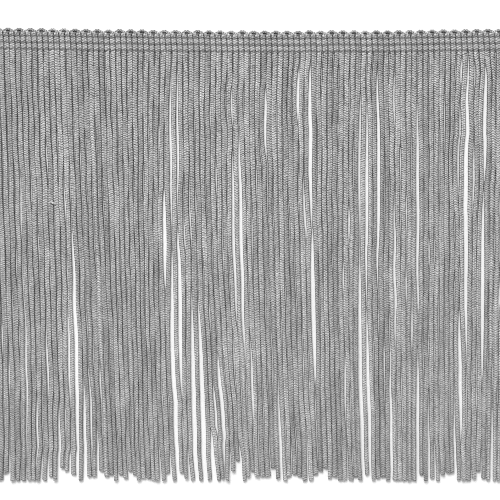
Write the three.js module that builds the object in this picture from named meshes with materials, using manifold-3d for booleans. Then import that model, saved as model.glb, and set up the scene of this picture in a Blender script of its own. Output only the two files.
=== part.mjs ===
// Chainette fringe trim, lying flat: a knitted heading with a scalloped edge, and 96 cords hanging from it.
//
// Millimetres, Z up. X runs along the heading and Y runs from the feet of the strands to the scallops.
// The origin is the middle of the underside of the whole trim.

import * as THREE from 'three';
import { mergeVertices } from 'three/addons/utils/BufferGeometryUtils.js';
import Module from 'manifold-3d';

// Driving sizes.
const DROP = 153; // from the highest scallop tips to the longest feet, about 6 inches
const STRANDS = 96; // two for each hairpin of cord
const COLUMN = 1.88; // one strand and its column of stitches, along the heading
const CORD = 1.5; // diameter of the round knitted cord
const PIECE_GAP = 0.3; // between the heading and the strip that holds the strands

// The heading, from its scalloped edge down.
const SCALLOP_RISE = 0.65;
const SCALLOP_SHIFT = 0.3; // how far the scallops lean to the left, as a share of a column
const FIRST_LINE = 2.6; // depth of the first line of stitching below the scallop tips
const LINE_PITCH = 2.22; // between the three lines of stitching
const STITCH_TOP = 1.64; // height of a raised stitch
const LINE_HEIGHT = 1.2; // height along a line of stitching, and between two stitches
const SCALLOP_HEIGHT = 1.5;
const EDGE_HEIGHT = 0.8; // the rounded-over upper and lower edges
const STITCH_SHOULDER = 0.45; // from a line of stitching to the flat top of a stitch
const STITCH_STATIONS = [0, 0.3, 0.7]; // places across a column where the heading has a section

// The heading lies in a slight bow: it is lowest at BOW_AT and rises to the left and to the right.
const BOW_DEPTH = 1.33;
const BOW_AT = 14;
const BOW_HALF = 105;

// The strip that holds the roots of the strands.
const STRIP_WIDTH = 1.3;
const STRIP_HEIGHT = 1.1;
const STRIP_SECTIONS = 16;
const ROOT_LENGTH = 0.7; // how far a strand reaches into the strip

// The strands.
const CORD_CONTACT = 0.96; // soft cords settle to this share of their diameter where they touch
const STRAND_HALF = 0.7; // from the middle of a four-sided strand to its corners, so that no two touch
const STATION_DEPTHS = [0, 12, 32, 52, 74, 96, 118, 146]; // sections of the strands, below the heading
const LEAN_MID = 0.46; // share of the fall at which LEANS gives mid
const WANDER = 0.12; // each strand's own slow wave to either side
const WANDER_LENGTHS = { shortest: 70, longest: 150 };
const LAID_REACH = 3; // how many neighbours to each side a strand can lie on
const CLOSEST = 1.38; // least distance between neighbours
const SLIT_BLUNTNESS = 0.38; // 1 makes a slit a plain half wave, less makes its ends blunter
const SHIFT_REACH = 2; // how many strands to each side follow a slit's shift, before it fades
const PARTING_PASSES = 60; // of pushing crowded strands apart

// A cord beside a slit is as wide as the stitching has left it, and grows round again on its way down.
const LONE_WIDTHS = [
  { depth: 0, width: 1.88 },
  { depth: 8, width: 1.78 },
  { depth: 40, width: 1.66 },
  { depth: 75, width: 1.5 },
  { depth: 110, width: 1.42 },
  { depth: 146, width: 1.4 },
];

// How far the strands lean to the right by the middle of the fall and at the feet. Boundaries between strands are
// counted from the left end, and those between two rows are interpolated.
const LEANS = [
  { boundary: 0, mid: 2.3, foot: 3.9 },
  { boundary: 8, mid: 2.1, foot: 4.2 },
  { boundary: 15, mid: 2.2, foot: 4.6 },
  { boundary: 17, mid: 2.4, foot: 5.7 },
  { boundary: 19, mid: 2.3, foot: 5.8 },
  { boundary: 24, mid: 1.7, foot: 4.0 },
  { boundary: 28, mid: 0.5, foot: 2.7 },
  { boundary: 32, mid: -0.7, foot: 1.5 },
  { boundary: 35, mid: 0.3, foot: 2.2 },
  { boundary: 38, mid: 1.0, foot: 3.3 },
  { boundary: 42, mid: 0.6, foot: 5.2 },
  { boundary: 46, mid: 0.9, foot: 3.8 },
  { boundary: 52, mid: 0.8, foot: 3.2 },
  { boundary: 56, mid: 0.0, foot: 2.9 },
  { boundary: 60, mid: 0.2, foot: 2.3 },
  { boundary: 66, mid: -0.7, foot: 1.0 },
  { boundary: 72, mid: 0.0, foot: 0.7 },
  { boundary: 80, mid: 0.2, foot: 0.0 },
  { boundary: 86, mid: -0.8, foot: -0.1 },
  { boundary: 92, mid: -0.4, foot: -1.6 },
  { boundary: 96, mid: -0.3, foot: -1.6 },
];

// The slits where neighbouring strands part: where each opens and closes below the heading, its widest gap, and how
// far to the right it lies of where LEANS puts it. A slit that closes past the feet is still open there.
const SLITS = [
  { boundary: 6, from: 38, to: 68, wide: 0.5, shift: 0.2 },
  { boundary: 6, from: 77, to: 142, wide: 0.65, shift: 0.4 },
  { boundary: 8, from: 114, to: 144, wide: 0.65, shift: -0.2 },
  { boundary: 9, from: 134, to: 175, wide: 0.9, shift: -0.5 },
  { boundary: 10, from: 92, to: 120, wide: 0.7, shift: 0 },
  { boundary: 10, from: 134, to: 170, wide: 0.9, shift: -0.3 },
  { boundary: 12, from: 118, to: 170, wide: 1.05, shift: -0.5 },
  { boundary: 14, from: 84, to: 122, wide: 0.8, shift: -0.2 },
  { boundary: 14, from: 134, to: 175, wide: 1.1, shift: -0.9 },
  { boundary: 15, from: 58, to: 148, wide: 1.3, shift: 0.2 },
  { boundary: 16, from: 108, to: 170, wide: 1.1, shift: -0.1 },
  { boundary: 17, from: 106, to: 141, wide: 0.65, shift: 0.1 },
  { boundary: 18, from: 124, to: 170, wide: 0.85, shift: 0 },
  { boundary: 31, from: 132, to: 175, wide: 0.9, shift: 0 },
  { boundary: 33, from: 45, to: 81, wide: 1.25, shift: 0 },
  { boundary: 33, from: 132, to: 175, wide: 0.9, shift: 0.2 },
  { boundary: 34, from: 1, to: 66, wide: 0.75, shift: 0.1 },
  { boundary: 34, from: 64, to: 165, wide: 1.4, shift: 0.2 },
  { boundary: 35, from: 3, to: 58, wide: 0.75, shift: -0.1 },
  { boundary: 35, from: 57, to: 119, wide: 1.3, shift: 0.1 },
  { boundary: 36, from: 133, to: 175, wide: 1, shift: -0.1 },
  { boundary: 37, from: 81, to: 165, wide: 1.55, shift: -0.2 },
  { boundary: 38, from: 82, to: 176, wide: 1.6, shift: 0.1 },
  { boundary: 39, from: 126, to: 190, wide: 1.9, shift: 0.8 },
  { boundary: 40, from: 113, to: 131, wide: 0.7, shift: 0.3 },
  { boundary: 41, from: 100, to: 141, wide: 1.2, shift: 0.4 },
  { boundary: 42, from: 131, to: 175, wide: 0.9, shift: 0.1 },
  { boundary: 44, from: 131, to: 170, wide: 1, shift: 0 },
  { boundary: 45, from: 10, to: 25, wide: 0.5, shift: -0.5 },
  { boundary: 45, from: 32, to: 93, wide: 0.95, shift: -0.4 },
  { boundary: 46, from: 23, to: 108, wide: 1.1, shift: 0.2 },
  { boundary: 47, from: 97, to: 127, wide: 0.75, shift: 0.4 },
  { boundary: 51, from: 10, to: 37, wide: 0.85, shift: -0.5 },
  { boundary: 52, from: 108, to: 170, wide: 0.9, shift: 0.1 },
  { boundary: 57, from: 4, to: 25, wide: 0.9, shift: -0.4 },
  { boundary: 57, from: 122, to: 165, wide: 0.4, shift: 0.1 },
  { boundary: 58, from: 41, to: 66, wide: 0.75, shift: -0.1 },
  { boundary: 59, from: 2, to: 60, wide: 1.25, shift: -0.2 },
  { boundary: 59, from: 58, to: 113, wide: 1.4, shift: 0.4 },
  { boundary: 65, from: 100, to: 124, wide: 0.6, shift: 0 },
  { boundary: 65, from: 134, to: 170, wide: 0.5, shift: -0.2 },
  { boundary: 68, from: 11, to: 66, wide: 0.85, shift: 0.4 },
  { boundary: 68, from: 64, to: 165, wide: 1.25, shift: -0.1 },
  { boundary: 69, from: 14, to: 86, wide: 0.95, shift: 0.1 },
  { boundary: 69, from: 86, to: 150, wide: 1.1, shift: 0.1 },
  { boundary: 71, from: 2, to: 82, wide: 1.05, shift: -0.2 },
  { boundary: 73, from: 101, to: 165, wide: 0.85, shift: 0.3 },
  { boundary: 74, from: 5, to: 28, wide: 0.5, shift: -0.2 },
  { boundary: 74, from: 45, to: 104, wide: 0.8, shift: 0 },
  { boundary: 78, from: 14, to: 89, wide: 0.95, shift: 0.1 },
  { boundary: 78, from: 98, to: 165, wide: 1.05, shift: 0 },
  { boundary: 80, from: 117, to: 165, wide: 0.85, shift: -0.1 },
  { boundary: 81, from: 132, to: 165, wide: 0.55, shift: 0.1 },
  { boundary: 85, from: 116, to: 165, wide: 0.8, shift: -0.1 },
  { boundary: 86, from: 1, to: 12, wide: 0.7, shift: 0.1 },
  { boundary: 86, from: 14, to: 53, wide: 0.7, shift: -0.2 },
  { boundary: 86, from: 86, to: 133, wide: 1.2, shift: 0.1 },
  { boundary: 87, from: 0, to: 106, wide: 1.4, shift: 0.15 },
  { boundary: 88, from: 3, to: 14, wide: 0.35, shift: 0.2 },
  { boundary: 88, from: 28, to: 56, wide: 0.6, shift: -0.2 },
  { boundary: 90, from: 3, to: 46, wide: 1.15, shift: 0.5 },
  { boundary: 90, from: 45, to: 112, wide: 1.15, shift: 0.1 },
  { boundary: 92, from: 119, to: 165, wide: 0.75, shift: 0.1 },
];

// Strands that were cut shorter than the longest ones, counted from the left end.
const SHORT_CUTS = [
  { short: 6.8, strands: [43] },
  { short: 4.4, strands: [12, 50, 60] },
  { short: 3.3, strands: [13, 18, 24, 42, 46, 59, 89] },
  { short: 2.7, strands: [2, 32, 34, 83, 84, 94] },
  { short: 2.1, strands: [14, 20, 22, 25, 54, 58, 68, 78, 82] },
  { short: 1.4, strands: [10, 16, 17, 19, 45, 47, 48, 49, 53, 55, 62, 66, 71] },
  { short: 0.8, strands: [0, 23, 27, 28, 35, 40, 51, 61, 70, 80, 88, 90] },
];
const PLAIN_CUT_SPREAD = 0.3; // the other strands differ by up to this much

// Near the feet each strand turns a little to one side.
const SPLAY = { from: 120, least: -0.3, most: 0.3 };

const LENGTH = STRANDS * COLUMN;
const TIP_Y = DROP / 2;
const FOOT_Y = -DROP / 2;
const LAST_LINE = FIRST_LINE + 2 * LINE_PITCH;
const FALL = DROP - BOW_DEPTH - LAST_LINE; // from the last line of stitching to the feet, where the bow is lowest

function boundaryX(boundary) {
  return boundary * COLUMN - LENGTH / 2;
}

function bow(x) {
  const share = (x - BOW_AT) / BOW_HALF;
  return BOW_DEPTH * (1 - share * share);
}

// A number between 0 and 1 that looks random but is the same each time, with a row of its own for each salt: the
// fraction that is left of a very large sine wave.
const SALT = { wanderLength: 1, wanderStart: 2, laid: 3, cut: 4, splay: 5 };
const HASH = { index: 12.9898, salt: 78.233, wave: 43758.5453 };

function chance(index, salt) {
  const wave = Math.sin(index * HASH.index + salt * HASH.salt) * HASH.wave;
  return wave - Math.floor(wave);
}

// The two rows of a table that a value lies between, and how far it is on its way from a to b.
function neighbours(rows, column, value) {
  const next = Math.max(rows.findIndex((row) => row[column] >= value), 1);
  const a = rows[next - 1];
  const b = rows[next];
  return { a, b, share: (value - a[column]) / (b[column] - a[column]) };
}

// Sideways lean of a boundary between strands: a parabola through the root, the middle and the foot.
function leanAt(boundary, depth) {
  const { a, b, share } = neighbours(LEANS, 'boundary', boundary);
  const mid = a.mid + share * (b.mid - a.mid);
  const foot = a.foot + share * (b.foot - a.foot);
  const u = depth / FALL;
  const curve = (foot - mid / LEAN_MID) / (1 - LEAN_MID);
  return (foot - curve) * u + curve * u * u;
}

// The slits that are open at one depth, each with how far it is open, from 0 to 1.
function openSlits(depth) {
  return SLITS.filter((slit) => depth > slit.from && depth < slit.to).map((slit) => {
    const share = (depth - slit.from) / (slit.to - slit.from);
    return { ...slit, opened: Math.sin(Math.PI * share) ** SLIT_BLUNTNESS };
  });
}

function loneWidth(depth) {
  const { a, b, share } = neighbours(LONE_WIDTHS, 'depth', depth);
  return a.width + share * (b.width - a.width);
}

function wander(strand, depth) {
  const { shortest, longest } = WANDER_LENGTHS;
  const wavelength = shortest + (longest - shortest) * chance(strand, SALT.wanderLength);
  const start = 2 * Math.PI * chance(strand, SALT.wanderStart);
  const grown = Math.min(depth / shortest, 1);
  return WANDER * grown * Math.sin((2 * Math.PI * depth) / wavelength + start);
}

function splay(strand, depth) {
  const share = Math.max((depth - SPLAY.from) / (FALL - SPLAY.from), 0);
  return share * share * (SPLAY.least + (SPLAY.most - SPLAY.least) * chance(strand, SALT.splay));
}

// Where the middle of each strand lies along X at one depth. Strands without room push their neighbours aside.
function strandXs(depth) {
  const slits = openSlits(depth);
  const rooms = new Array(STRANDS - 1).fill(CLOSEST);
  for (const { boundary, wide, opened } of slits) {
    rooms[boundary - 1] += (loneWidth(depth) + wide - CLOSEST) * opened;
  }
  const xs = [];
  for (let strand = 0; strand < STRANDS; strand += 1) {
    const middle = strand + 0.5;
    let x = boundaryX(middle) + leanAt(middle, depth) + wander(strand, depth) + splay(strand, depth);
    for (const { boundary, shift, opened } of slits) {
      x += shift * opened * Math.exp(-(Math.abs(middle - boundary) - 0.5) / SHIFT_REACH);
    }
    xs.push(x);
  }
  for (let pass = 0; pass < PARTING_PASSES; pass += 1) {
    const shorts = rooms.map((room, pair) => Math.max(room - (xs[pair + 1] - xs[pair]), 0) / 2);
    shorts.forEach((short, pair) => {
      xs[pair] -= short;
      xs[pair + 1] += short;
    });
  }
  return xs;
}

// How high the middle of each strand lies above its resting height. The strands are laid one after another in a
// mixed order, and one that has no room beside its neighbours rides up on them.
function strandLifts(xs) {
  const touch = CORD * CORD_CONTACT;
  const order = xs.map((_, strand) => strand).sort((a, b) => chance(a, SALT.laid) - chance(b, SALT.laid));
  const lifts = new Array(xs.length).fill(null);
  for (const strand of order) {
    const first = Math.max(strand - LAID_REACH, 0);
    const last = Math.min(strand + LAID_REACH, xs.length - 1);
    let lift = 0;
    for (let other = first; other <= last; other += 1) {
      const apart = Math.abs(xs[other] - xs[strand]);
      if (lifts[other] === null || apart >= touch) continue;
      lift = Math.max(lift, lifts[other] + Math.sqrt(touch * touch - apart * apart));
    }
    lifts[strand] = lift;
  }
  return lifts;
}

function cutShort(strand) {
  const row = SHORT_CUTS.find((cut) => cut.strands.includes(strand));
  return row ? row.short : PLAIN_CUT_SPREAD * chance(strand, SALT.cut);
}

// The middle of a strand at any depth, on a straight line between the sections above and below.
function strandMiddle(stations, strand, depth) {
  const { a, b, share } = neighbours(stations, 'depth', depth);
  const x = a.xs[strand] + share * (b.xs[strand] - a.xs[strand]);
  const lift = a.lifts[strand] + share * (b.lifts[strand] - a.lifts[strand]);
  return { x, z: STRAND_HALF + lift };
}

// A closed geometry through a row of outlines. Each outline lists [u, v] points counter-clockwise, place turns
// such a point into [x, y, z], and the outlines follow each other in the direction u x v.
function loft(outlines, place) {
  const count = outlines[0].length;
  const index = [];
  for (let a = 0; a < (outlines.length - 1) * count; a += 1) {
    const b = a % count === count - 1 ? a + 1 - count : a + 1;
    index.push(a, b, b + count, a, b + count, a + count);
  }
  const facesOf = (outline) => {
    const corners = outline.map(([u, v]) => new THREE.Vector2(u, v));
    return THREE.ShapeUtils.triangulateShape(corners, []);
  };
  const last = outlines.length - 1;
  for (const [a, b, c] of facesOf(outlines[0])) index.push(c, b, a);
  for (const face of facesOf(outlines[last])) index.push(...face.map((corner) => last * count + corner));
  const points = outlines.flatMap((outline, row) => outline.flatMap(([u, v]) => place(row, u, v)));
  const geometry = new THREE.BufferGeometry();
  geometry.setAttribute('position', new THREE.Float32BufferAttribute(points, 3));
  geometry.setIndex(index);
  return geometry;
}

// The knitted band: a flat back, three lines of stitching pressed in, raised stitches between them, scalloped top.
function headingGeometry() {
  const xs = [];
  const outlines = [];
  for (let column = 0; column <= STRANDS; column += 1) {
    for (const share of column < STRANDS ? STITCH_STATIONS : [0]) {
      const place = column + share;
      const x = boundaryX(place);
      const fromTurn = ((place + SCALLOP_SHIFT) % 2) - 1;
      const tip = TIP_Y - bow(x) - SCALLOP_RISE * (1 - Math.sqrt(1 - fromTurn * fromTurn));
      const firstLine = TIP_Y - bow(x) - FIRST_LINE;
      const lastLine = TIP_Y - bow(x) - LAST_LINE;
      const stitch = share === 0 ? LINE_HEIGHT : STITCH_TOP;
      const outline = [[lastLine, 0], [tip, 0], [tip, EDGE_HEIGHT]];
      outline.push([(tip + firstLine) / 2, SCALLOP_HEIGHT], [firstLine, LINE_HEIGHT]);
      for (const line of [firstLine, firstLine - LINE_PITCH]) {
        outline.push([line - STITCH_SHOULDER, stitch], [line - LINE_PITCH + STITCH_SHOULDER, stitch]);
        outline.push([line - LINE_PITCH, line === firstLine ? LINE_HEIGHT : EDGE_HEIGHT]);
      }
      xs.push(x);
      outlines.push(outline);
    }
  }
  return loft(outlines, (row, y, z) => [xs[row], y, z]);
}

// The narrow strip just below the heading, along the same bow.
function stripGeometry() {
  const xs = [];
  const outlines = [];
  for (let section = 0; section <= STRIP_SECTIONS; section += 1) {
    const x = (section / STRIP_SECTIONS - 0.5) * LENGTH;
    const top = TIP_Y - bow(x) - LAST_LINE - PIECE_GAP;
    const bottom = top - STRIP_WIDTH;
    xs.push(x);
    outlines.push([[bottom, 0], [top, 0], [top, STRIP_HEIGHT], [bottom, STRIP_HEIGHT]]);
  }
  return loft(outlines, (row, y, z) => [xs[row], y, z]);
}

// One four-sided strand, standing on a corner, from inside the strip to its cut foot.
function strandGeometry(stations, strand) {
  const rootX = boundaryX(strand + 0.5);
  const lineY = TIP_Y - bow(rootX) - LAST_LINE;
  const start = PIECE_GAP + STRIP_WIDTH - ROOT_LENGTH;
  const foot = lineY - FOOT_Y - cutShort(strand);
  const depths = [start, ...STATION_DEPTHS.slice(1, -1), foot];
  const outlines = depths.map((depth) => {
    const { x, z } = strandMiddle(stations, strand, depth);
    return [[x + STRAND_HALF, z], [x, z + STRAND_HALF], [x - STRAND_HALF, z], [x, z - STRAND_HALF]];
  });
  return loft(outlines, (row, x, z) => [x, lineY - depths[row], z]);
}

function toSolid(wasm, geometry) {
  const plain = geometry.clone();
  plain.deleteAttribute('normal');
  plain.deleteAttribute('uv');
  const merged = mergeVertices(plain);
  const vertProperties = new Float32Array(merged.attributes.position.array);
  const triVerts = new Uint32Array(merged.index.array);
  return new wasm.Manifold(new wasm.Mesh({ numProp: 3, vertProperties, triVerts }));
}

function toGeometry(solid) {
  const { vertProperties, triVerts } = solid.getMesh();
  const geometry = new THREE.BufferGeometry();
  geometry.setAttribute('position', new THREE.BufferAttribute(vertProperties, 3));
  geometry.setIndex(new THREE.BufferAttribute(triVerts, 1));
  return geometry;
}

// The strands and the strip that holds their roots, as one solid.
function fringeGeometry(wasm) {
  const stations = STATION_DEPTHS.map((depth) => {
    const xs = strandXs(depth);
    return { depth, xs, lifts: strandLifts(xs) };
  });
  const solids = [toSolid(wasm, stripGeometry())];
  for (let strand = 0; strand < STRANDS; strand += 1) {
    solids.push(toSolid(wasm, strandGeometry(stations, strand)));
  }
  return toGeometry(wasm.Manifold.union(solids));
}

function addPiece(group, name, geometry, material) {
  geometry.computeVertexNormals();
  const mesh = new THREE.Mesh(geometry, material);
  mesh.name = name;
  group.add(mesh);
}

const wasm = await Module();
wasm.setup();

const cordYarn = new THREE.MeshStandardMaterial({ color: 0xa0a0a0, roughness: 0.75, metalness: 0 });
const stitchedYarn = new THREE.MeshStandardMaterial({ color: 0x989898, roughness: 0.8, metalness: 0 });

const trim = new THREE.Group();
addPiece(trim, 'heading', headingGeometry(), stitchedYarn);
addPiece(trim, 'fringe', fringeGeometry(wasm), cordYarn);

export default trim;
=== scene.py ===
import bpy
import numpy as np
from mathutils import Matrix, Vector


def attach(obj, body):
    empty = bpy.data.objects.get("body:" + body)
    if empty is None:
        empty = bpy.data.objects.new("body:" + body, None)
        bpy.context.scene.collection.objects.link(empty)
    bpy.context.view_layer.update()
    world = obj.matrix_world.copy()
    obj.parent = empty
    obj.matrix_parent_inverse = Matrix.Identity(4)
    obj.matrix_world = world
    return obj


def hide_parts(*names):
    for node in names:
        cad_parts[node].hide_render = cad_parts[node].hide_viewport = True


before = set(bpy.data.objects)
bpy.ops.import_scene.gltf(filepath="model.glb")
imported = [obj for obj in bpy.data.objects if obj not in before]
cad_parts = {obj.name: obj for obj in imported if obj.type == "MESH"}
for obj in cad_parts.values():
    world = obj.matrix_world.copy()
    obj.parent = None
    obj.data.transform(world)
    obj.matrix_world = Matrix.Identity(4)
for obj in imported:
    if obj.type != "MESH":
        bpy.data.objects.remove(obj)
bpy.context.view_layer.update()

MM = 0.001

# Driving sizes.
DROP = 153  # from the highest scallop tips to the longest feet
STRANDS = 96
COLUMN = 1.88  # one strand and its column of stitches, along the heading
CORD = 1.5  # diameter where it is round
# A cord beside a slit is as wide as the stitching has left it, and grows round again on its way down.
# Columns: depth, width.
LONE_WIDTHS = [(0, 1.88), (8, 1.78), (40, 1.66), (75, 1.5), (110, 1.42), (146, 1.4)]
FILLED = 1.93  # one between two others fills its room, up to this width
# Its knit is drawn in on each side besides. Columns: depth, how far.
DRAWN_IN = [(0, 0.07), (30, 0.04), (80, 0.01), (146, 0.01)]
# How far two neighbours press into each other on each side, in the deepest crease and where there is none.
# Less than 0 is a gap.
PRESSED_IN_CREASE, PRESSED_PLAIN = -0.14, 0.1
CREASE_LENGTHS = (16, 80)  # of the waves by which a crease deepens and fills up along the cords
CREASE_WAVES = 2  # that add up in each crease
CREASE_RANGE = 2.4  # less makes more of each boundary either the deepest crease or none
CLOSEST = 1.38  # least distance between neighbours
FIRST_LINE = 2.78  # depth of the first line of stitching below the scallop tips
LINE_PITCH = 2.24
LINES = 3

# The heading lies in a slight bow: it is lowest at BOW_AT and rises to the left and to the right.
BOW_DEPTH = 1.33
BOW_AT = 14
BOW_HALF = 105

# How the strands lie.
CORD_CONTACT = 0.96  # soft cords settle to this share of their diameter where they touch
SETTLED_CONTACT = 0.9  # and give way to this share where one crosses over another
LEAN_MID = 0.46  # how far down the fall LEANS gives mid, as a share of it
WANDER = 0.12  # each strand's own slow wave to either side
WANDER_LENGTHS = (70, 150)
SWAY = 0.17  # and its quicker one
SWAY_LENGTHS = (18, 40)
SLIT_BLUNTNESS = 0.38  # 1 makes a slit a plain half wave, less makes its ends blunter
SHIFT_REACH = 2.0  # how many strands to each side follow a slit's shift, before it fades
PARTING_PASSES = 60  # of pushing crowded strands apart
LAID_REACH = 3  # how many neighbours to each side a strand can lie on
SETTLING = 5.0  # length over which a strand bends as it rides up on a neighbour
DEPTH_STEP = 2.0  # between the depths at which the strands are laid out

# How far the strands lean to the right by the middle of the fall and at the feet, at boundaries between
# strands counted from the left end. Columns: boundary, mid, foot.
LEANS = [
    (0, 2.3, 3.9),
    (8, 2.1, 4.2),
    (15, 2.2, 4.6),
    (17, 2.4, 5.7),
    (19, 2.3, 5.8),
    (24, 1.7, 4.0),
    (28, 0.5, 2.7),
    (32, -0.7, 1.5),
    (35, 0.3, 2.2),
    (38, 1.0, 3.3),
    (42, 0.6, 5.2),
    (46, 0.9, 3.8),
    (52, 0.8, 3.2),
    (56, 0.0, 2.9),
    (60, 0.2, 2.3),
    (66, -0.7, 1.0),
    (72, 0.0, 0.7),
    (80, 0.2, 0.0),
    (86, -0.8, -0.1),
    (92, -0.4, -1.6),
    (96, -0.3, -1.6),
]

# The slits where neighbouring strands part. One that closes past the feet is still open there.
# Columns: boundary, depth where it opens, depth where it closes, widest gap, and how far it lies to the right
# of where LEANS puts it.
SLITS = [
    (6, 38, 68, 0.5, 0.2),
    (6, 77, 142, 0.65, 0.4),
    (8, 114, 144, 0.65, -0.2),
    (9, 134, 175, 0.9, -0.5),
    (10, 92, 120, 0.7, 0.0),
    (10, 134, 170, 0.9, -0.3),
    (12, 118, 170, 1.05, -0.5),
    (14, 84, 122, 0.8, -0.2),
    (14, 134, 175, 1.1, -0.9),
    (15, 58, 148, 1.3, 0.2),
    (16, 108, 170, 1.1, -0.1),
    (17, 106, 141, 0.65, 0.1),
    (18, 124, 170, 0.85, 0.0),
    (31, 132, 175, 0.9, 0.0),
    (33, 45, 81, 1.25, 0.0),
    (33, 132, 175, 0.9, 0.2),
    (34, 1, 66, 0.75, 0.1),
    (34, 64, 165, 1.4, 0.2),
    (35, 3, 58, 0.75, -0.1),
    (35, 57, 119, 1.3, 0.1),
    (36, 133, 175, 1.0, -0.1),
    (37, 81, 165, 1.55, -0.2),
    (38, 82, 176, 1.6, 0.1),
    (39, 126, 190, 1.9, 0.8),
    (40, 113, 131, 0.7, 0.3),
    (41, 100, 141, 1.2, 0.4),
    (42, 131, 175, 0.9, 0.1),
    (44, 131, 170, 1.0, 0.0),
    (45, 10, 25, 0.5, -0.5),
    (45, 32, 93, 0.95, -0.4),
    (46, 23, 108, 1.1, 0.2),
    (47, 97, 127, 0.75, 0.4),
    (51, 10, 37, 0.85, -0.5),
    (52, 108, 170, 0.9, 0.1),
    (57, 4, 25, 0.9, -0.4),
    (57, 122, 165, 0.4, 0.1),
    (58, 41, 66, 0.75, -0.1),
    (59, 2, 60, 1.25, -0.2),
    (59, 58, 113, 1.4, 0.4),
    (65, 100, 124, 0.6, 0.0),
    (65, 134, 170, 0.5, -0.2),
    (68, 11, 66, 0.85, 0.4),
    (68, 64, 165, 1.25, -0.1),
    (69, 14, 86, 0.95, 0.1),
    (69, 86, 150, 1.1, 0.1),
    (71, 2, 82, 1.05, -0.2),
    (73, 101, 165, 0.85, 0.3),
    (74, 5, 28, 0.5, -0.2),
    (74, 45, 104, 0.8, 0.0),
    (78, 14, 89, 0.95, 0.1),
    (78, 98, 165, 1.05, 0.0),
    (80, 117, 165, 0.85, -0.1),
    (81, 132, 165, 0.55, 0.1),
    (85, 116, 165, 0.8, -0.1),
    (86, 1, 12, 0.7, 0.1),
    (86, 14, 53, 0.7, -0.2),
    (86, 86, 133, 1.2, 0.1),
    (87, 0, 106, 1.4, 0.15),
    (88, 3, 14, 0.35, 0.2),
    (88, 28, 56, 0.6, -0.2),
    (90, 3, 46, 1.15, 0.5),
    (90, 45, 112, 1.15, 0.1),
    (92, 119, 165, 0.75, 0.1),
]

# Strands that were cut shorter than the longest ones: how much shorter, and which, counted from the left end.
SHORT_CUTS = {
    6.8: [43],
    4.4: [12, 50, 60],
    3.3: [13, 18, 24, 42, 46, 59, 89],
    2.7: [2, 32, 34, 83, 84, 94],
    2.1: [14, 20, 22, 25, 54, 58, 68, 78, 82],
    1.4: [10, 16, 17, 19, 45, 47, 48, 49, 53, 55, 62, 66, 71],
    0.8: [0, 23, 27, 28, 35, 40, 51, 61, 70, 80, 88, 90],
}
PLAIN_CUT_SPREAD = 0.3  # how much shorter each of the others may be
# From this depth on each strand turns to one side, by an amount between these at its foot.
SPLAY_FROM, SPLAY_LEAST, SPLAY_MOST = 120, -0.3, 0.3

# The knit of the cord.
COURSE = 0.785  # one row of stitches along the cord
COURSE_SPREAD = 0.1  # the courses of one strand are up to this share longer or shorter than those of another
WALES = 3  # columns of stitches round the cord
RELIEF = 0.19  # how far the stitches stand in and out, as a share of the cord's radius
UNEVEN = 0.33  # how far a stitch differs from its neighbours, as a share of that
MIDLINE = 0.6  # depth of the furrow between two columns of stitches, as a share of that
# The stitches of all strands are turned round the cord by this much, those of each one by up to this much
# more or less, and they turn by up to this much farther on their way to its foot.
TURNED, TURN_EACH, TWIST = np.radians([30, 12, 25])
# Where the points lie round a cord, from its top. The underside has fewer.
STRAND_ANGLES = np.radians([0, 30, 60, 90, 130, 180, 230, 270, 300, 330])
STRAND_RINGS = 2  # rings of points in each course
HEADING_ANGLES = np.radians(np.arange(0, 360, 30))
HEADING_RINGS = 4
STRAND_PIECES = 4  # meshes that the strands are gathered in
SIDE_PAINTED_SHADE = 0.97  # painted shade: how much darker the yarn is painted in the deepest creases between cords
SIDE_PAINTED_SHADE_LOW = 0.55  # and at the feet
SIDE_PAINTED_SHADE_HEADING = 0.25  # and between the columns of the heading
SIDE_SHARPNESS = 4  # more keeps this painted shade nearer to the middle of the side
CUT_END = 0.3  # how light a cut end is on the painted knit shade: 0 is a groove of the knit, 1 a ridge

# The heading, where the cord is stitched down.
LINE_REACH = 0.32  # how far along the cord a line of stitching draws it in
PINCH_WIDTH, PINCH_HEIGHT, PINCH_DROP = 0.12, 0.42, 0.14  # and by how much
LINE_PAINTED_SHADE = 0.44  # painted shade: how much darker the cord is painted in the groove under the threads
HEADING_RELIEF = 0.17  # how far the stitches stand out where the cord is drawn tight
HEADING_SPREAD = 0.5  # how much of the difference in tone between strands is left there
# How far the columns lie to the right. Columns: depth below the scallop tips, how far.
COLUMN_SHIFTS = [(0, -0.62), (2.6, -0.2), (7.1, 0.1), (13, 0)]
BUMP_HALF = 0.82  # half the height of the cord between two lines
FULLNESS = 4.0  # squareness of the cord's section in the heading, where 2 is an ellipse
FULLNESS_LOW = 3.0  # and at the feet
TUCK = 0.5  # how far a strand reaches up under the last line
THREAD = 0.22  # diameter of the sewing thread
THREAD_SWAY = 0.2  # how far the two strands of a line part and cross again
THREAD_DIP, THREAD_BACK_DIP = 0.3, 0.1  # how far it dips between two columns, on the face and on the back
# The thread is painted at this share of the plain yarn's lightness, darker as the shade in the groove it lies
# in.
THREAD_PAINTED_SHADE = 0.5
THREAD_SUNK = 0.1  # how far it sinks into the cords
THREAD_STEPS = 6  # in each column
THREAD_TWIST_STEPS = 2  # in each turn of its twist
THREAD_ANGLES = np.radians(np.arange(0, 360, 60))

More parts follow.
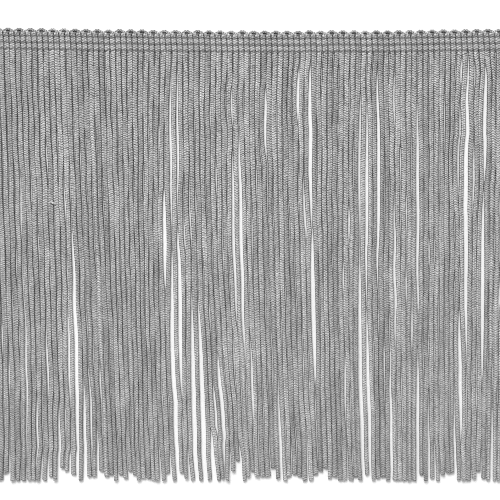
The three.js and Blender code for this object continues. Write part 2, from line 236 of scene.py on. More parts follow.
# The top of the heading: each column is rounded off, and the cord turns over from one to the next in an arch.
# The sides of a column, counted from the middle of the hairpin. Columns: depth below the tip of the scallop,
# the side towards the arch, the side away from it, and the share of the column's height.
COLUMN_SIDES = [
    (0.7, 1.3, 1.6, 0.5),
    (0.85, 1.25, 1.8, 0.75),
    (1.05, 1.18, 1.88, 0.9),
    (1.3, 1.0, 1.88, 1),
    (1.6, 0.55, 1.88, 1),
    (1.8, 0.2, 1.88, 1),
    (1.95, 0, 1.88, 1),
]
ARCH_REACH = 1.1  # from the middle of the hairpin out to the middle of the cord
ARCH_TIP, ARCH_DEPTH = 0.32, 1.35  # from the tip down to the middle of the cord, and to where the arch starts
ARCH_SQUARENESS = 2.4
ARCH_STEPS = 41
ARCH_LEG = 0.6  # how much farther down it goes into a column
ARCH_HALF, ARCH_HEIGHT = 0.48, 0.55  # half the width and half the height of the cord there
ARCH_LIFT, ARCH_LOW = 0.66, 0.62  # height of its middle at the tip and at its ends
ARCH_TONE = 0.84
KNOT_REACH, KNOT_DEPTH, KNOT_HALF, KNOT_HEIGHT = 0.9, 1.35, 0.62, 0.26  # of the turn of thread inside an arch
# The turn of thread is painted this dark, as the shade in the eye of the arch.
KNOT_PAINTED_SHADE = 0.3
KNOT_STEPS = 5
TIP_SPREAD = 0.25  # how much lower some tips are than others

LENGTH = STRANDS * COLUMN
TIP_Y = DROP / 2
FOOT_Y = -DROP / 2
LAST_LINE = FIRST_LINE + (LINES - 1) * LINE_PITCH
FALL = DROP - BOW_DEPTH - LAST_LINE
RADIUS = CORD / 2 / (1 + RELIEF)  # of the cord, halfway between its ridges and grooves


def boundary_x(boundary):
    return boundary * COLUMN - LENGTH / 2


def bow(x):
    return BOW_DEPTH * (1 - ((x - BOW_AT) / BOW_HALF) ** 2)


# Numbers between 0 and 1 that look random but are the same each time, with a row of its own for each salt.
SALT_WANDER_LENGTH, SALT_WANDER_START, SALT_LAID, SALT_CUT, SALT_SPLAY = 1, 2, 3, 4, 5
SALT_COURSE, SALT_TURN, SALT_TWIST, SALT_TONE, SALT_SLANT, SALT_PHASE = 6, 7, 8, 9, 10, 11
SALT_SWAY_LENGTH, SALT_SWAY_START, SALT_TIP, SALT_STITCH, SALT_FLARE, SALT_CREASE = 12, 13, 14, 15, 16, 17
SALT_PARTS = 7  # rows between the last salt and the next
HASH_INDEX, HASH_SALT, HASH_WAVE = 12.9898, 78.233, 43758.5453


def chance(index, salt):
    wave = np.sin(np.asarray(index) * HASH_INDEX + salt * HASH_SALT) * HASH_WAVE
    return wave - np.floor(wave)


def either_way(index, salt):
    return 2 * chance(index, salt) - 1


def read_off(table, at):
    """The second column of a table where the first one is at, or between two rows."""
    return np.interp(at, *zip(*table))


def lean_at(boundary, depth):
    """Sideways lean of a boundary between strands: a parabola through the root, the middle and the foot."""
    rows, mids, feet = np.array(LEANS).T
    mid = np.interp(boundary, rows, mids)
    foot = np.interp(boundary, rows, feet)
    u = depth / FALL
    curve = (foot - mid / LEAN_MID) / (1 - LEAN_MID)
    return (foot - curve) * u + curve * u * u


def open_slits(depth):
    """Each slit's boundary, widest gap and shift, and how far it is open at each depth, from 0 to 1."""
    for boundary, start, end, wide, shift in SLITS:
        share = np.clip((depth - start) / (end - start), 0, 1)
        yield boundary, wide, shift, np.sin(np.pi * share) ** SLIT_BLUNTNESS


def wave(strand, depth, height, lengths, salts):
    """A strand's own wave to either side, which grows to its full height over its shortest length."""
    shortest, longest = lengths
    wavelength = shortest + (longest - shortest) * chance(strand, salts[0])
    start = 2 * np.pi * chance(strand, salts[1])
    return height * np.clip(depth / shortest, 0, 1) * np.sin(2 * np.pi * depth / wavelength + start)


def wander(strand, depth):
    slow = wave(strand, depth, WANDER, WANDER_LENGTHS, (SALT_WANDER_LENGTH, SALT_WANDER_START))
    quick = wave(strand, depth, SWAY, SWAY_LENGTHS, (SALT_SWAY_LENGTH, SALT_SWAY_START))
    return slow + quick


def splay(strand, depth):
    share = np.maximum((depth - SPLAY_FROM) / (FALL - SPLAY_FROM), 0)
    return share ** 2 * (SPLAY_LEAST + (SPLAY_MOST - SPLAY_LEAST) * chance(strand, SALT_SPLAY))


def strand_xs(depth):
    """Where each strand's middle lies along X at each depth, one row for each strand, and how far each
    boundary between two of them is parted by a slit. Strands without room push their neighbours aside."""
    middles = np.arange(STRANDS) + 0.5
    xs = np.array([
        boundary_x(strand + 0.5) + lean_at(strand + 0.5, depth) + wander(strand, depth) + splay(strand, depth)
        for strand in range(STRANDS)
    ])
    parted = np.zeros((STRANDS - 1, len(depth)))
    rooms = np.full(parted.shape, CLOSEST)
    lone = read_off(LONE_WIDTHS, depth)
    for boundary, wide, shift, opened in open_slits(depth):
        parted[boundary - 1] += opened
        rooms[boundary - 1] += (lone + wide - CLOSEST) * opened
        follows = np.exp(-(np.abs(middles - boundary) - 0.5) / SHIFT_REACH)
        xs += shift * follows[:, None] * opened
    for _ in range(PARTING_PASSES):
        short = np.maximum(rooms - np.diff(xs, axis=0), 0) / 2
        xs[:-1] -= short
        xs[1:] += short
    return xs, np.minimum(parted, 1)


def lay(xs, resting, contact):
    """Lays the strands one after another in a mixed order. A strand that has no room beside one that lies
    there rides up on it, at every depth, and none lies lower than its resting height."""
    touch = CORD * contact
    lifts = np.full(xs.shape, np.nan)
    for strand in np.argsort(chance(np.arange(len(xs)), SALT_LAID)):
        lift = resting[strand].copy()
        for other in range(max(strand - LAID_REACH, 0), min(strand + LAID_REACH + 1, len(xs))):
            if other != strand and not np.isnan(lifts[other, 0]):
                apart = np.minimum(np.abs(xs[other] - xs[strand]), touch)
                ride = lifts[other] + np.sqrt(touch ** 2 - apart ** 2)
                lift = np.maximum(lift, np.where(apart < touch, ride, 0))
        lifts[strand] = lift
    return lifts


def smoothed(rows, reach):
    """Each row with its sharp turns rounded off over that many steps."""
    farthest = 3 * reach
    steps = np.arange(-farthest, farthest + 1)
    weights = np.exp(-0.5 * (steps / reach) ** 2)
    weights /= weights.sum()
    padded = np.pad(rows, ((0, 0), (farthest, farthest)), mode="edge")
    return np.array([np.convolve(row, weights, mode="valid") for row in padded])


def crease(boundary, depth):
    """How deep a crease there is between the strands on both sides of a boundary, from 0 to 1."""
    shortest, longest = CREASE_LENGTHS
    waves = 0
    for i in range(CREASE_WAVES):
        wavelength = shortest + (longest - shortest) * chance(boundary, SALT_CREASE + i / SALT_PARTS)
        start = chance(boundary, SALT_CREASE + (i + CREASE_WAVES) / SALT_PARTS)
        waves = waves + np.sin(2 * np.pi * (depth / wavelength + start))
    return np.clip(0.5 + waves / CREASE_RANGE, 0, 1)


def reaches(depth, xs, parted, creased):
    """How far each strand reaches to its left and to its right: to the middle of the room between it and its
    neighbour, or less at a slit or a crease."""
    lone = read_off(LONE_WIDTHS, depth) / 2 - read_off(DRAWN_IN, depth)
    room = np.diff(xs, axis=0) / 2
    pressed = PRESSED_IN_CREASE + (PRESSED_PLAIN - PRESSED_IN_CREASE) * (1 - creased)
    between = (1 - parted) * (np.minimum(room, FILLED / 2) + pressed) + parted * np.minimum(room, lone)
    outer = lone[None]
    return np.concatenate([outer, between]), np.concatenate([between, outer])


def layout():
    """The depths, and for each strand its X, its lift and its half width there, and how deep the creases are
    on its left and on its right."""
    depth = np.arange(0, FALL + 2 * DEPTH_STEP, DEPTH_STEP)
    xs, parted = strand_xs(depth)
    lifts = lay(xs, np.zeros_like(xs), CORD_CONTACT)
    lifts = smoothed(lifts, max(int(SETTLING / DEPTH_STEP), 1))
    lifts = lay(xs, lifts, SETTLED_CONTACT)
    lifts *= np.minimum(depth / SETTLING, 1)
    creased = np.array([crease(boundary, depth) for boundary in range(1, STRANDS)])
    to_left, to_right = reaches(depth, xs, parted, creased)
    outer = np.zeros((1, len(depth)))
    creases = np.concatenate([outer, creased]), np.concatenate([creased, outer])
    middles = xs + (to_right - to_left) / 2
    return depth, middles, smoothed(lifts, 1), (to_left + to_right) / 2, creases


def cut_short(strand):
    for short, strands in SHORT_CUTS.items():
        if strand in strands:
            return short
    return PLAIN_CUT_SPREAD * chance(strand, SALT_CUT)


def pinch(below_tip):
    """1 on a line of stitching, falling to 0 between two lines."""
    lines = FIRST_LINE + LINE_PITCH * np.arange(LINES)
    away = (np.asarray(below_tip)[:, None] - lines) / LINE_REACH
    return np.exp(-0.5 * away ** 2).max(axis=1)


# What a tube's cross-section is like where nothing else is said: an ellipse with no stitches, cut square.
PLAIN = {"squareness": 2, "turn": 0, "relief": 0, "slant": 0}


class Knit:
    """Knitted tubes, gathered to become one mesh."""

    def __init__(self, name):
        self.name = name
        self.points, self.relief, self.tone = [], [], []
        self.faces, self.uvs = [], []
        self.count = 0

    def tube(self, path, section, courses, tone, angles, shelf, painted_shade=(0, 0)):
        """Adds a closed tube round path. section gives its cross-section at each ring, courses counts the
        stitches up to there, shelf is the tube's place in the UV map, as u and v of two corners, and the last
        argument gives painted shade: how much darker the tube is painted on its left and on its right."""
        rings, sides = len(path), len(angles)
        shape = {
            name: np.broadcast_to(value, rings)[:, None] for name, value in {**PLAIN, **section}.items()
        }
        across, stitch = self.stitches(courses, angles, shape["turn"])
        places = self.places(path, shape, stitch, angles)
        self.skin(across, courses[-1] < courses[0], shelf)
        self.cap(0, sides, rings, shelf, start=True)
        self.cap(rings - 1, sides, rings, shelf, start=False)
        self.points += [places.reshape(-1, 3), [places[0].mean(axis=0), places[-1].mean(axis=0)]]
        # The knit's relief, which the material turns into painted shade in the grooves and painted light on
        # the ridges.
        contrast = np.minimum(shape["relief"] / RELIEF, 1)
        self.relief += [(0.5 + 0.5 * stitch * contrast).ravel(), [CUT_END, CUT_END]]
        # Painted shade: the tube is darkened towards its left and right sides, as the shade in the creases.
        left, right = np.broadcast_to(np.reshape(painted_shade, (2, -1, 1)), (2, rings, 1))
        side_shade = 1 - np.where(np.sin(angles) > 0, left, right) * np.sin(angles) ** SIDE_SHARPNESS
        self.tone += [(tone[:, None] * side_shade).ravel(), [tone[0], tone[-1]]]
        self.count += rings * sides + 2

    def stitches(self, courses, angles, turn):
        """How far across its column of stitches each point of a tube lies, and how far it stands out."""
        across = 1 - np.abs(((angles + turn) * WALES / np.pi) % 2 - 1)
        between = np.sin(np.pi * across) ** 2
        stitch = np.cos(2 * np.pi * courses[:, None]) * np.cos(np.pi * across) + MIDLINE * (0.5 - between)
        own = either_way(self.count + np.arange(stitch.size), SALT_STITCH).reshape(stitch.shape)
        return across, stitch + UNEVEN * own

    @staticmethod
    def places(path, shape, stitch, angles):
        """Where the points of a tube lie, ring by ring."""
        along = np.gradient(path, axis=0)
        along /= np.linalg.norm(along, axis=1)[:, None]
        side = np.cross(along, (0, 0, 1))
        side /= np.linalg.norm(side, axis=1)[:, None]
        rise = np.cross(side, along)
        power = shape["squareness"]
        reach = (np.abs(np.sin(angles)) ** power + np.abs(np.cos(angles)) ** power) ** (-1 / power)
        reach = reach * (1 + shape["relief"] * stitch)
        sideways = shape["half_width"] * reach * np.sin(angles)
        upward = shape["half_height"] * reach * np.cos(angles)
        forward = shape["slant"] * sideways
        return (
            path[:, None]
            + side[:, None] * sideways[..., None]
            + rise[:, None] * upward[..., None]
            + along[:, None] * forward[..., None]
        )

    def skin(self, across, backwards, shelf):
        """Adds the faces round a tube. Each square is halved along the leg of its stitch."""
        rings, sides = across.shape
        ring, j = np.meshgrid(np.arange(rings - 1), np.arange(sides), indexing="ij")
        ring, j = ring.ravel(), j.ravel()
        rising = across[ring, (j + 1) % sides] > across[ring, j]
        a, b, c, d = (ring, j), (ring, j + 1), (ring + 1, j + 1), (ring + 1, j)
        leg = (rising != backwards)[:, None]
        first = np.where(leg, self.corners(sides, a, b, c), self.corners(sides, a, b, d))
        second = np.where(leg, self.corners(sides, a, c, d), self.corners(sides, b, c, d))
        top = np.where(leg, self.map_corners(a, b, c), self.map_corners(a, b, d))
        low = np.where(leg, self.map_corners(a, c, d), self.map_corners(b, c, d))
        u0, v0, u1, v1 = shelf
        size = np.tile([u1 - u0, v1 - v0] / np.array([sides, rings - 1]), 3)
        self.uvs += [np.tile([u0, v0], 3) + map_row * size for map_row in (top, low)]
        self.faces += [first + self.count, second + self.count]

    @staticmethod
    def corners(sides, *spots):
        return np.stack([ring * sides + j % sides for ring, j in spots], axis=1)

    @staticmethod
    def map_corners(*spots):
        return np.concatenate([np.stack([j, ring], axis=1) for ring, j in spots], axis=1)

    def cap(self, ring, sides, rings, shelf, start):
        """Adds the faces that close a tube at its start or its end, round a point in its middle."""
        j = np.arange(sides)
        one, two = ring * sides + j, ring * sides + (j + 1) % sides
        middle = np.full(sides, rings * sides + (0 if start else 1))
        order = (middle, two, one) if start else (middle, one, two)
        self.faces.append(np.stack(order, axis=1) + self.count)
        u0, v0, u1, v1 = shelf
        v = v0 if start else v1
        spot = np.array([u0, v, u0 + (u1 - u0) / sides, v, u0, v])
        self.uvs.append(np.tile(spot, (sides, 1)))

    def build(self, material):
        faces = np.concatenate(self.faces)
        mesh = bpy.data.meshes.new(self.name)
        mesh.vertices.add(self.count)
        mesh.vertices.foreach_set("co", (np.concatenate(self.points) * MM).astype(np.float32).ravel())
        mesh.loops.add(faces.size)
        mesh.loops.foreach_set("vertex_index", faces.astype(np.int32).ravel())
        mesh.polygons.add(len(faces))
        mesh.polygons.foreach_set("loop_start", np.arange(0, faces.size, 3, dtype=np.int32))
        mesh.polygons.foreach_set("use_smooth", np.ones(len(faces), dtype=bool))
        for name, values in (("relief", self.relief), ("tone", self.tone)):
            attribute = mesh.attributes.new(name, "FLOAT", "POINT")
            attribute.data.foreach_set("value", np.concatenate(values).astype(np.float32))
        layer = mesh.uv_layers.new(name="OFBake")
        layer.uv.foreach_set("vector", np.concatenate(self.uvs).astype(np.float32).ravel())
        mesh.update(calc_edges=True)
        mesh.validate()
        mesh.materials.append(material)
        piece = bpy.data.objects.new(self.name, mesh)
        bpy.context.scene.collection.objects.link(piece)
        return piece


# Small patches of painted shade on the cords, where strands twist and pass behind others.
# Columns: X, Y, half width, half length, and how much darker.
SHADE_PATCHES = [
    (-33.0, -34.9, 1.6, 6.0, 0.2),
    (-41.4, -54.1, 1.3, 3.5, 0.3),
    (34.7, -64.2, 1.8, 5.0, 0.15),
]
TONE_SPREAD = 0.15  # how much lighter or darker one strand is than another
TONE_WAVES = [(55, 0.09), (23, 0.07), (9, 0.05)]  # wavelength, and how much lighter or darker along a strand


def tone_of(strand, path):
    """How light the yarn is along a strand, with its patches of painted shade: 1 is the plain yarn."""
    tone = np.full(len(path), 1 + TONE_SPREAD * either_way(strand, SALT_TONE))
    for i, (wavelength, height) in enumerate(TONE_WAVES):
        start = chance(strand, SALT_PHASE + i / len(TONE_WAVES))
        tone += height * np.sin(2 * np.pi * (path[:, 1] / wavelength + start))
    for x, y, wide, long, painted_shade in SHADE_PATCHES:
        away = ((path[:, 0] - x) / wide) ** 2 + ((path[:, 1] - y) / long) ** 2
        tone = tone - painted_shade * np.exp(-away)
    return tone


FOOT_ROUND = 0.15  # length over which a cut foot is drawn in
FOOT_HALF = 0.92  # and the share of the radius that is left at its end
FLARE = 0.16  # how much wider some feet are than their strands
FLARE_REACH = 2.0  # and over what length
SLANT = 0.35  # how far a cut may run off square, as a slope
SLANT_REACH = 1.4  # and over what length
SMOOTHER = 0.42  # how much the knit's relief fades by the feet


def turn_of(strand):
    """How far the columns of stitches of a strand are turned round it."""
    return TURNED + TURN_EACH * either_way(strand, SALT_TURN)


def add_strand(knit, strand, laid, shelf):
    """Adds the part of a cord that hangs out of the heading, from under its last line to the foot."""
    depths, xs, lifts, halves, creases = laid
    root_x = boundary_x(strand + 0.5)
    line_y = TIP_Y - bow(root_x) - LAST_LINE
    foot = line_y - FOOT_Y - cut_short(strand)
    course = COURSE * (1 + COURSE_SPREAD * either_way(strand, SALT_COURSE))
    rings = int((foot + TUCK) / (course / STRAND_RINGS)) + 1
    depth = foot - course / STRAND_RINGS * np.arange(rings - 1, -1, -1)
    x = np.interp(depth, depths, xs[strand]) + read_off(COLUMN_SHIFTS, depth + LAST_LINE)
    lift = np.interp(depth, depths, lifts[strand])
    drawn = pinch(depth + LAST_LINE)
    opened = np.clip(depth / LINE_PITCH, 0, 1)
    half_width = np.interp(depth, depths, halves[strand]) / (1 + RELIEF / 2) - PINCH_WIDTH * drawn
    half_height = BUMP_HALF / (1 + RELIEF) * (1 - opened) + RADIUS * opened - PINCH_HEIGHT * drawn
    to_foot = foot - depth
    ended = 1 - (1 - FOOT_HALF) * np.clip(1 - to_foot / FOOT_ROUND, 0, 1) ** 2
    flared = 1 + FLARE * chance(strand, SALT_FLARE) * np.clip(1 - to_foot / FLARE_REACH, 0, 1)
    z = CORD / 2 + (BUMP_HALF - CORD / 2) * (1 - opened) - PINCH_DROP * drawn + lift
    relief = HEADING_RELIEF + (RELIEF - HEADING_RELIEF) * opened
    skew = SLANT * either_way(strand, SALT_SLANT)
    section = {
        "half_width": half_width * ended * flared,
        "half_height": half_height * ended,
        "squareness": FULLNESS + (FULLNESS_LOW - FULLNESS) * depth / FALL,
        "turn": turn_of(strand) + TWIST * either_way(strand, SALT_TWIST) * depth / FALL,
        "relief": relief * (1 - SMOOTHER * np.clip(depth / FALL, 0, 1)),
        "slant": skew * np.clip(1 - to_foot / SLANT_REACH, 0, 1),
    }
    path = np.stack([x, line_y - depth, z], axis=1)
    courses = np.arange(rings) / STRAND_RINGS * (-1 if strand % 2 else 1)
    # Painted shade in the creases on each side, as deep as the crease there.
    side_shade = SIDE_PAINTED_SHADE + (SIDE_PAINTED_SHADE_LOW - SIDE_PAINTED_SHADE) * depth / FALL
    painted_shade = [side_shade * np.interp(depth, depths, rows[strand]) for rows in creases]
    # Painted shade in the grooves under the lines of stitching.
    tone = tone_of(strand, path) * (1 - LINE_PAINTED_SHADE * drawn)
    knit.tube(path, section, courses, tone, STRAND_ANGLES, shelf, painted_shade)


# A snag, where a loop of the yarn has been pulled out across two cords: where it starts and ends.
SNAG_FROM, SNAG_TO = (-67.0, 17.4), (-65.0, 16.5)
SNAG_HALF = 0.36  # half its width
SNAG_LOW, SNAG_HIGH = 0.7 * CORD, 1.85
SNAG_TONE = 1
SNAG_STEPS = 13


def add_snag(knit, shelf):
    share = np.linspace(0, 1, SNAG_STEPS)[:, None]
    path = np.array(SNAG_FROM) * (1 - share) + np.array(SNAG_TO) * share
    lift = SNAG_LOW + (SNAG_HIGH - SNAG_LOW) * np.sin(np.pi * share)
    section = {"half_width": SNAG_HALF, "half_height": SNAG_HALF, "relief": RELIEF}
    courses = np.arange(len(share)) / HEADING_RINGS
    tone = np.full(len(share), SNAG_TONE)
    knit.tube(np.concatenate([path, lift], axis=1), section, courses, tone, THREAD_ANGLES, shelf)


MAP_MARGIN = 0.02  # round each shelf of the UV map, as a share of the shelf


def shelf_edges(i, count):
    """Where the shelf i of count equal ones starts and ends."""
    return (i + MAP_MARGIN) / count, (i + 1 - MAP_MARGIN) / count


def make_strands(material):
    laid = layout()
    each = STRANDS // STRAND_PIECES
    pieces = []
    for part in range(STRAND_PIECES):
        knit = Knit(f"strands_{part + 1}")
        for i in range(each):
            left, right = shelf_edges(i, each + 1)
            add_strand(knit, part * each + i, laid, (left, 0, right, 1))
        if part == 0:
            left, right = shelf_edges(each, each + 1)
            add_snag(knit, (left, 0, right, 1))
        pieces.append(knit.build(material))
    return pieces


def scallop_tip(strand):
    """Where the tip of the scallop over a strand lies along Y."""
    hairpin = strand // 2
    return TIP_Y - bow(boundary_x(2 * hairpin + 1)) - TIP_SPREAD * chance(hairpin, SALT_TIP)


def even_steps(route):
    """Points along a route, an even fraction of a course apart."""
    reached = np.concatenate([[0], np.cumsum(np.linalg.norm(np.diff(route, axis=0), axis=1))])
    count = int(round(reached[-1] / (COURSE / HEADING_RINGS))) + 1
    at = np.linspace(0, reached[-1], count)
    return np.interp(at, reached, route[:, 0]), np.interp(at, reached, route[:, 1])


def add_column(knit, strand, shelf):
    """Adds the part of a cord that is stitched down in the heading, from the last line to its rounded top."""
    low = LAST_LINE + THREAD / 2
    depths, inner, outer, heights = zip(*COLUMN_SIDES)
    below = even_steps(np.array([[0, low], [0, depths[0]]]))[1]
    drawn = pinch(below)
    outward = 1 if strand % 2 else -1
    inner = np.interp(below, depths, inner)
    outer = np.interp(below, depths, outer)
    half_height = BUMP_HALF * np.interp(below, depths, heights)
    section = {
        "half_width": ((outer - inner) / 2 - PINCH_WIDTH * drawn) / (1 + HEADING_RELIEF / 2),
        "half_height": (half_height - PINCH_HEIGHT * drawn) / (1 + HEADING_RELIEF),
        "squareness": FULLNESS,
        "turn": turn_of(strand),
        "relief": HEADING_RELIEF,
    }
    x = boundary_x(2 * (strand // 2) + 1) + outward * (inner + outer) / 2 + read_off(COLUMN_SHIFTS, below)
    path = np.stack([x, scallop_tip(strand) - below, half_height - PINCH_DROP * drawn], axis=1)
    courses = np.arange(len(path)) / HEADING_RINGS
    # Painted shade in the grooves under the lines of stitching.
    tone = (1 + HEADING_SPREAD * (tone_of(strand, path) - 1)) * (1 - LINE_PAINTED_SHADE * drawn)
    # Painted shade between the columns of the heading.
    painted_shade = (SIDE_PAINTED_SHADE_HEADING, SIDE_PAINTED_SHADE_HEADING)
    knit.tube(path, section, courses, tone, HEADING_ANGLES, shelf, painted_shade)


def add_arch(knit, hairpin, shelf):
    """Adds the turn of the cord from one column to the next, which shows as a scallop."""
    swing = np.linspace(-np.pi / 2, np.pi / 2, ARCH_STEPS)
    across = np.sign(swing) * np.abs(np.sin(swing)) ** (2 / ARCH_SQUARENESS)
    up = np.abs(np.cos(swing)) ** (2 / ARCH_SQUARENESS)
    arc = np.stack([ARCH_REACH * across, ARCH_DEPTH - (ARCH_DEPTH - ARCH_TIP) * up], axis=1)
    foot = ARCH_DEPTH + ARCH_LEG
    out, below = even_steps(np.concatenate([[[-ARCH_REACH, foot]], arc, [[ARCH_REACH, foot]]]))
    section = {
        "half_width": ARCH_HALF / (1 + RELIEF),
        "half_height": ARCH_HEIGHT / (1 + RELIEF),
        "turn": TURNED,
        "relief": RELIEF,
    }
    x = boundary_x(2 * hairpin + 1) + out + read_off(COLUMN_SHIFTS, below)
    z = np.interp(below, [ARCH_TIP, foot], [ARCH_LIFT, ARCH_LOW])
    path = np.stack([x, scallop_tip(2 * hairpin) - below, z], axis=1)
    tone = ARCH_TONE * tone_of(2 * hairpin, path)
    knit.tube(path, section, np.arange(len(path)) / HEADING_RINGS, tone, HEADING_ANGLES, shelf)


def add_knot(knit, hairpin, shelf):
    """Adds the turn of thread inside an arch, painted dark as the shade in the eye of the arch."""
    out = np.linspace(-KNOT_REACH, KNOT_REACH, KNOT_STEPS)
    x = boundary_x(2 * hairpin + 1) + out + read_off(COLUMN_SHIFTS, KNOT_DEPTH)
    y = np.full(len(out), scallop_tip(2 * hairpin) - KNOT_DEPTH)
    path = np.stack([x, y, np.full(len(out), KNOT_HEIGHT)], axis=1)
    section = {"half_width": KNOT_HALF, "half_height": KNOT_HEIGHT}
    knit.tube(path, section, np.arange(len(out)), np.full(len(out), KNOT_PAINTED_SHADE), THREAD_ANGLES, shelf)


# What a hairpin's two columns, arch and turn of thread take up of the width of the UV map.
HAIRPIN_SHELVES = [(0, 0.33), (0.34, 0.67), (0.68, 0.9), (0.91, 1)]


def make_heading(material):
    knit = Knit("heading_knit")
    hairpins = STRANDS // 2
    for hairpin in range(hairpins):
        low, high = shelf_edges(hairpin, hairpins)
        first, second, arch, knot = [(left, low, right, high) for left, right in HAIRPIN_SHELVES]
        add_column(knit, 2 * hairpin, first)
        add_column(knit, 2 * hairpin + 1, second)
        add_arch(knit, hairpin, arch)
        add_knot(knit, hairpin, knot)
    return knit.build(material)


def make_lock_stitches(material):
    """The threads that hold the cords, two for each line of stitching on the face and two on the back."""
    knit = Knit("lock_stitches")
    rows = [(line, sway, face) for line in range(LINES) for sway in (-1, 1) for face in (True, False)]
    steps = STRANDS * THREAD_STEPS + 1
    place = np.linspace(0, STRANDS, steps)
    dip = 0.5 + 0.5 * np.cos(2 * np.pi * place)
    top = 2 * (BUMP_HALF - PINCH_HEIGHT) + PINCH_HEIGHT - PINCH_DROP - THREAD_SUNK
    section = {"half_width": THREAD / 2, "half_height": THREAD / 2, "relief": RELIEF / 2}
    turns = np.arange(steps) / THREAD_TWIST_STEPS
    tone = np.full(steps, THREAD_PAINTED_SHADE)
    for row, (line, sway, face) in enumerate(rows):
        x = boundary_x(place)
        swayed = sway * THREAD_SWAY * np.cos(np.pi * place)
        y = TIP_Y - bow(x) - FIRST_LINE - line * LINE_PITCH + swayed
        x = x + read_off(COLUMN_SHIFTS, FIRST_LINE + line * LINE_PITCH)
        z = top - THREAD_DIP * dip if face else THREAD / 2 + THREAD_BACK_DIP * dip
        low, high = shelf_edges(row, len(rows))
        knit.tube(np.stack([x, y, z], axis=1), section, turns, tone, THREAD_ANGLES, (0, low, 1, high))
    return knit.build(material)


YARN_GREY = (0.45, 0.45, 0.45)
YARN_SHEEN, SHEEN_ROUGHNESS = 0.2, 0.5
FIBRE_SCALE = 2600  # fibres in a metre
FIBRE_DETAIL = 3
FIBRE_NOISE = (0.3, 0.7)  # what most of the fibres' noise lies between
FLECK = (0.72, 1.28)  # and how light the yarn is there
FIBRE_BUMP, FIBRE_HEIGHT = 0.6, 0.03  # strength of their relief, and its height


def multiplied(tree, one, two):
    """A node's output that is the product of two others."""
    node = tree.nodes.new("ShaderNodeMath")
    node.operation = "MULTIPLY"
    tree.links.new(one, node.inputs[0])
    tree.links.new(two, node.inputs[1])
    return node.outputs[0]


def yarn(name, groove_painted_shade, ridge_painted_light, roughness):
    """Knitted grey yarn with fine fibres and a soft sheen, painted darker in the grooves between stitches
    and lighter on their ridges, as painted shade and light.
    """
    material = bpy.data.materials.new(name)
    material.use_nodes = True
    tree = material.node_tree
    nodes, links = tree.nodes, tree.links
    shader = nodes["Principled BSDF"]
    shader.inputs["Roughness"].default_value = roughness
    shader.inputs["Sheen Weight"].default_value = YARN_SHEEN
    shader.inputs["Sheen Roughness"].default_value = SHEEN_ROUGHNESS

    place = nodes.new("ShaderNodeTexCoord")
    fibre = nodes.new("ShaderNodeTexNoise")
    fibre.inputs["Scale"].default_value = FIBRE_SCALE
    fibre.inputs["Detail"].default_value = FIBRE_DETAIL
    links.new(place.outputs["Object"], fibre.inputs["Vector"])
    fleck = nodes.new("ShaderNodeMapRange")
    fleck.inputs["From Min"].default_value, fleck.inputs["From Max"].default_value = FIBRE_NOISE
    fleck.inputs["To Min"].default_value, fleck.inputs["To Max"].default_value = FLECK
    links.new(fibre.outputs["Fac"], fleck.inputs["Value"])

    # Painted shade and light: the knit's relief darkens the yarn in its grooves and lightens it on its
    # ridges.
    relief = nodes.new("ShaderNodeAttribute")
    relief.attribute_name = "relief"
    depth = nodes.new("ShaderNodeMapRange")
    depth.inputs["To Min"].default_value = groove_painted_shade
    depth.inputs["To Max"].default_value = ridge_painted_light
    links.new(relief.outputs["Fac"], depth.inputs["Value"])

    tone = nodes.new("ShaderNodeAttribute")
    tone.attribute_name = "tone"
    shade = multiplied(tree, depth.outputs["Result"], tone.outputs["Fac"])
    tint = nodes.new("ShaderNodeVectorMath")
    tint.operation = "SCALE"
    tint.inputs[0].default_value = YARN_GREY
    links.new(multiplied(tree, shade, fleck.outputs["Result"]), tint.inputs["Scale"])
    links.new(tint.outputs["Vector"], shader.inputs["Base Color"])

    bump = nodes.new("ShaderNodeBump")
    bump.inputs["Strength"].default_value = FIBRE_BUMP
    bump.inputs["Distance"].default_value = FIBRE_HEIGHT * MM
    links.new(fibre.outputs["Fac"], bump.inputs["Height"])
    links.new(bump.outputs["Normal"], shader.inputs["Normal"])
    return material


VIEW_WIDTH = 168.43  # what the photograph's 500 pixels take in
VIEW_AT = (0.15, 1.19)  # where the middle of the view lies
LENS, SENSOR = 120, 36
FARTHEST = 100  # metres that the camera sees
FLOOR_REACH, FLOOR_GREY = 4, 0.9  # metres from the middle, and how pale the floor is
SURROUND = 0.6  # how bright the white surround is
KEY_WATTS = 46.5
KEY_PLACE, KEY_SIZE = (-0.45, 1.3, 1.9), 1.0  # metres


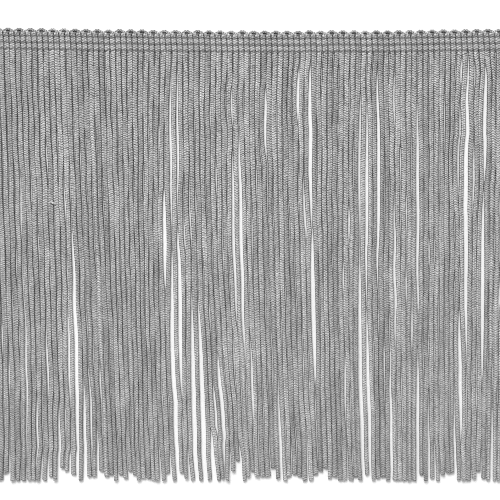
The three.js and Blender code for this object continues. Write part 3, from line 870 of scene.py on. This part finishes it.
def make_camera():
    camera = bpy.data.cameras.new("camera")
    camera.lens = LENS
    camera.sensor_width = SENSOR
    camera.clip_end = FARTHEST
    holder = bpy.data.objects.new("camera", camera)
    height = VIEW_WIDTH * LENS / SENSOR + CORD / 2
    holder.location = (VIEW_AT[0] * MM, VIEW_AT[1] * MM, height * MM)
    bpy.context.scene.collection.objects.link(holder)
    bpy.context.scene.camera = holder


def make_stage():
    mesh = bpy.data.meshes.new("floor")
    corners = [(-1, -1), (1, -1), (1, 1), (-1, 1)]
    mesh.from_pydata([(FLOOR_REACH * x, FLOOR_REACH * y, 0) for x, y in corners], [], [range(len(corners))])
    floor = bpy.data.objects.new("floor", mesh)
    bpy.context.scene.collection.objects.link(floor)
    paint = bpy.data.materials.new("floor")
    paint.use_nodes = True
    shader = paint.node_tree.nodes["Principled BSDF"]
    shader.inputs["Base Color"].default_value = (FLOOR_GREY, FLOOR_GREY, FLOOR_GREY, 1)
    shader.inputs["Roughness"].default_value = 1
    shader.inputs["Specular IOR Level"].default_value = 0
    mesh.materials.append(paint)


def make_light():
    """An even white surround, and a soft lamp to the upper left."""
    world = bpy.data.worlds.new("surround")
    world.use_nodes = True
    surround = world.node_tree.nodes["Background"]
    surround.inputs["Color"].default_value = (1, 1, 1, 1)
    surround.inputs["Strength"].default_value = SURROUND
    bpy.context.scene.world = world
    lamp = bpy.data.lights.new("key", "AREA")
    lamp.energy = KEY_WATTS
    lamp.size = KEY_SIZE
    holder = bpy.data.objects.new("key", lamp)
    holder.location = KEY_PLACE
    holder.rotation_euler = (-Vector(KEY_PLACE)).to_track_quat("-Z", "Y").to_euler()
    bpy.context.scene.collection.objects.link(holder)


make_camera()
make_stage()
make_light()

cord_yarn = yarn("cord_yarn", groove_painted_shade=0.0, ridge_painted_light=1.4, roughness=0.5)
heading_yarn = yarn("heading_yarn", groove_painted_shade=0.0, ridge_painted_light=1.5, roughness=0.55)

for piece in make_strands(cord_yarn):
    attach(piece, "root")
    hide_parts("fringe")

for piece in (make_heading(heading_yarn), make_lock_stitches(heading_yarn)):
    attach(piece, "root")
    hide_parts("heading")

bpy.context.scene.view_settings.view_transform = "Standard"
bpy.context.scene.cycles.use_denoising = False
bpy.context.scene.cycles.filter_width = 0.8
